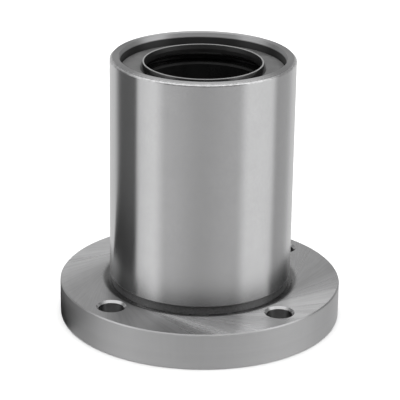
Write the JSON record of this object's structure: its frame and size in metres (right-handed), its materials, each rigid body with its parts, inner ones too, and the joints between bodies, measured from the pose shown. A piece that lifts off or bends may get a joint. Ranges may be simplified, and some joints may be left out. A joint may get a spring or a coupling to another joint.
{
  "type": "linear ball bushing",
  "caption": "Round-flanged linear ball bushing with recirculating ball circuits in a moulded retainer, a lip seal at each end and counterbored bolt holes in the flange.",
  "frame": {"origin": "centre of the bore in the flange's outer end face, the face away from the cylinder", "axes": "+Z along the bore from the flange to the nose; bolt holes at 45, 135, 225 and 315 degrees from +X"},
  "size_m": [0.062, 0.062, 0.059],
  "materials": {
    "ground_steel": "ground",
    "ball_steel": "polished",
    "retainer_resin": "moulded",
    "seal_rubber": "satin",
    "spring_steel": "oiled",
    "core_steel": "pressed"
  },
  "bodies": {
    "housing": {"flanged_outer_cylinder": "ground_steel", "ball_retainer": "retainer_resin", "snap_ring_nose": "spring_steel", "snap_ring_flange": "spring_steel", "seal_rubber_nose": "seal_rubber", "seal_rubber_flange": "seal_rubber", "seal_core_nose": "core_steel", "seal_core_flange": "core_steel"},
    "loaded_row_balls_1": {"loaded_row_1": "ball_steel"},
    "return_row_balls_1": {"return_row_1": "ball_steel"},
    "nose_turn_balls_1": {"nose_turn_1": "ball_steel"},
    "flange_turn_balls_1": {"flange_turn_1": "ball_steel"},
    "loaded_row_balls_2": {"loaded_row_2": "ball_steel"},
    "return_row_balls_2": {"return_row_2": "ball_steel"},
    "nose_turn_balls_2": {"nose_turn_2": "ball_steel"},
    "flange_turn_balls_2": {"flange_turn_2": "ball_steel"},
    "loaded_row_balls_3": {"loaded_row_3": "ball_steel"},
    "return_row_balls_3": {"return_row_3": "ball_steel"},
    "nose_turn_balls_3": {"nose_turn_3": "ball_steel"},
    "flange_turn_balls_3": {"flange_turn_3": "ball_steel"},
    "loaded_row_balls_4": {"loaded_row_4": "ball_steel"},
    "return_row_balls_4": {"return_row_4": "ball_steel"},
    "nose_turn_balls_4": {"nose_turn_4": "ball_steel"},
    "flange_turn_balls_4": {"flange_turn_4": "ball_steel"},
    "loaded_row_balls_5": {"loaded_row_5": "ball_steel"},
    "return_row_balls_5": {"return_row_5": "ball_steel"},
    "nose_turn_balls_5": {"nose_turn_5": "ball_steel"},
    "flange_turn_balls_5": {"flange_turn_5": "ball_steel"},
    "loaded_row_balls_6": {"loaded_row_6": "ball_steel"},
    "return_row_balls_6": {"return_row_6": "ball_steel"},
    "nose_turn_balls_6": {"nose_turn_6": "ball_steel"},
    "flange_turn_balls_6": {"flange_turn_6": "ball_steel"}
  },
  "joints": [
    {"name": "loaded_run_1", "type": "slide", "parent": "housing", "child": "loaded_row_balls_1", "axis": [0, 0, 1], "range_m": [-0.002, 0.002]},
    {"name": "return_run_1", "type": "slide", "parent": "housing", "child": "return_row_balls_1", "axis": [0, 0, 1], "range_m": [-0.002, 0.002]},
    {"name": "nose_run_1", "type": "hinge", "parent": "housing", "child": "nose_turn_balls_1", "pos_m": [0.01448, 0.00296, 0.04554], "axis": [-1, 0, 0], "range_deg": [-45, 45]},
    {"name": "flange_run_1", "type": "hinge", "parent": "housing", "child": "flange_turn_balls_1", "pos_m": [0.01448, 0.00296, 0.01346], "axis": [-1, 0, 0], "range_deg": [-45, 45]},
    {"name": "loaded_run_2", "type": "slide", "parent": "housing", "child": "loaded_row_balls_2", "axis": [0, 0, 1], "range_m": [-0.002, 0.002]},
    {"name": "return_run_2", "type": "slide", "parent": "housing", "child": "return_row_balls_2", "axis": [0, 0, 1], "range_m": [-0.002, 0.002]},
    {"name": "nose_run_2", "type": "hinge", "parent": "housing", "child": "nose_turn_balls_2", "pos_m": [0.00468, 0.01402, 0.04554], "axis": [-0.5, -0.866, 0], "range_deg": [-45, 45]},
    {"name": "flange_run_2", "type": "hinge", "parent": "housing", "child": "flange_turn_balls_2", "pos_m": [0.00468, 0.01402, 0.01346], "axis": [-0.5, -0.866, 0], "range_deg": [-45, 45]},
    {"name": "loaded_run_3", "type": "slide", "parent": "housing", "child": "loaded_row_balls_3", "axis": [0, 0, 1], "range_m": [-0.002, 0.002]},
    {"name": "return_run_3", "type": "slide", "parent": "housing", "child": "return_row_balls_3", "axis": [0, 0, 1], "range_m": [-0.002, 0.002]},
    {"name": "nose_run_3", "type": "hinge", "parent": "housing", "child": "nose_turn_balls_3", "pos_m": [-0.00981, 0.01106, 0.04554], "axis": [0.5, -0.866, 0], "range_deg": [-45, 45]},
    {"name": "flange_run_3", "type": "hinge", "parent": "housing", "child": "flange_turn_balls_3", "pos_m": [-0.00981, 0.01106, 0.01346], "axis": [0.5, -0.866, 0], "range_deg": [-45, 45]},
    {"name": "loaded_run_4", "type": "slide", "parent": "housing", "child": "loaded_row_balls_4", "axis": [0, 0, 1], "range_m": [-0.002, 0.002]},
    {"name": "return_run_4", "type": "slide", "parent": "housing", "child": "return_row_balls_4", "axis": [0, 0, 1], "range_m": [-0.002, 0.002]},
    {"name": "nose_run_4", "type": "hinge", "parent": "housing", "child": "nose_turn_balls_4", "pos_m": [-0.01448, -0.00296, 0.04554], "axis": [1, 0, 0], "range_deg": [-45, 45]},
    {"name": "flange_run_4", "type": "hinge", "parent": "housing", "child": "flange_turn_balls_4", "pos_m": [-0.01448, -0.00296, 0.01346], "axis": [1, 0, 0], "range_deg": [-45, 45]},
    {"name": "loaded_run_5", "type": "slide", "parent": "housing", "child": "loaded_row_balls_5", "axis": [0, 0, 1], "range_m": [-0.002, 0.002]},
    {"name": "return_run_5", "type": "slide", "parent": "housing", "child": "return_row_balls_5", "axis": [0, 0, 1], "range_m": [-0.002, 0.002]},
    {"name": "nose_run_5", "type": "hinge", "parent": "housing", "child": "nose_turn_balls_5", "pos_m": [-0.00468, -0.01402, 0.04554], "axis": [0.5, 0.866, 0], "range_deg": [-45, 45]},
    {"name": "flange_run_5", "type": "hinge", "parent": "housing", "child": "flange_turn_balls_5", "pos_m": [-0.00468, -0.01402, 0.01346], "axis": [0.5, 0.866, 0], "range_deg": [-45, 45]},
    {"name": "loaded_run_6", "type": "slide", "parent": "housing", "child": "loaded_row_balls_6", "axis": [0, 0, 1], "range_m": [-0.002, 0.002]},
    {"name": "return_run_6", "type": "slide", "parent": "housing", "child": "return_row_balls_6", "axis": [0, 0, 1], "range_m": [-0.002, 0.002]},
    {"name": "nose_run_6", "type": "hinge", "parent": "housing", "child": "nose_turn_balls_6", "pos_m": [0.00981, -0.01106, 0.04554], "axis": [-0.5, 0.866, 0], "range_deg": [-45, 45]},
    {"name": "flange_run_6", "type": "hinge", "parent": "housing", "child": "flange_turn_balls_6", "pos_m": [0.00981, -0.01106, 0.01346], "axis": [-0.5, 0.866, 0], "range_deg": [-45, 45]}
  ],
  "couplings": [
    {"joint": "return_run_1", "follows": "loaded_run_1", "ratio": -1},
    {"joint": "nose_run_1", "follows": "loaded_run_1", "rad_per_m": 391.82},
    {"joint": "flange_run_1", "follows": "loaded_run_1", "rad_per_m": 391.82},
    {"joint": "return_run_2", "follows": "loaded_run_2", "ratio": -1},
    {"joint": "nose_run_2", "follows": "loaded_run_2", "rad_per_m": 391.82},
    {"joint": "flange_run_2", "follows": "loaded_run_2", "rad_per_m": 391.82},
    {"joint": "return_run_3", "follows": "loaded_run_3", "ratio": -1},
    {"joint": "nose_run_3", "follows": "loaded_run_3", "rad_per_m": 391.82},
    {"joint": "flange_run_3", "follows": "loaded_run_3", "rad_per_m": 391.82},
    {"joint": "return_run_4", "follows": "loaded_run_4", "ratio": -1},
    {"joint": "nose_run_4", "follows": "loaded_run_4", "rad_per_m": 391.82},
    {"joint": "flange_run_4", "follows": "loaded_run_4", "rad_per_m": 391.82},
    {"joint": "return_run_5", "follows": "loaded_run_5", "ratio": -1},
    {"joint": "nose_run_5", "follows": "loaded_run_5", "rad_per_m": 391.82},
    {"joint": "flange_run_5", "follows": "loaded_run_5", "rad_per_m": 391.82},
    {"joint": "return_run_6", "follows": "loaded_run_6", "ratio": -1},
    {"joint": "nose_run_6", "follows": "loaded_run_6", "rad_per_m": 391.82},
    {"joint": "flange_run_6", "follows": "loaded_run_6", "rad_per_m": 391.82}
  ]
}
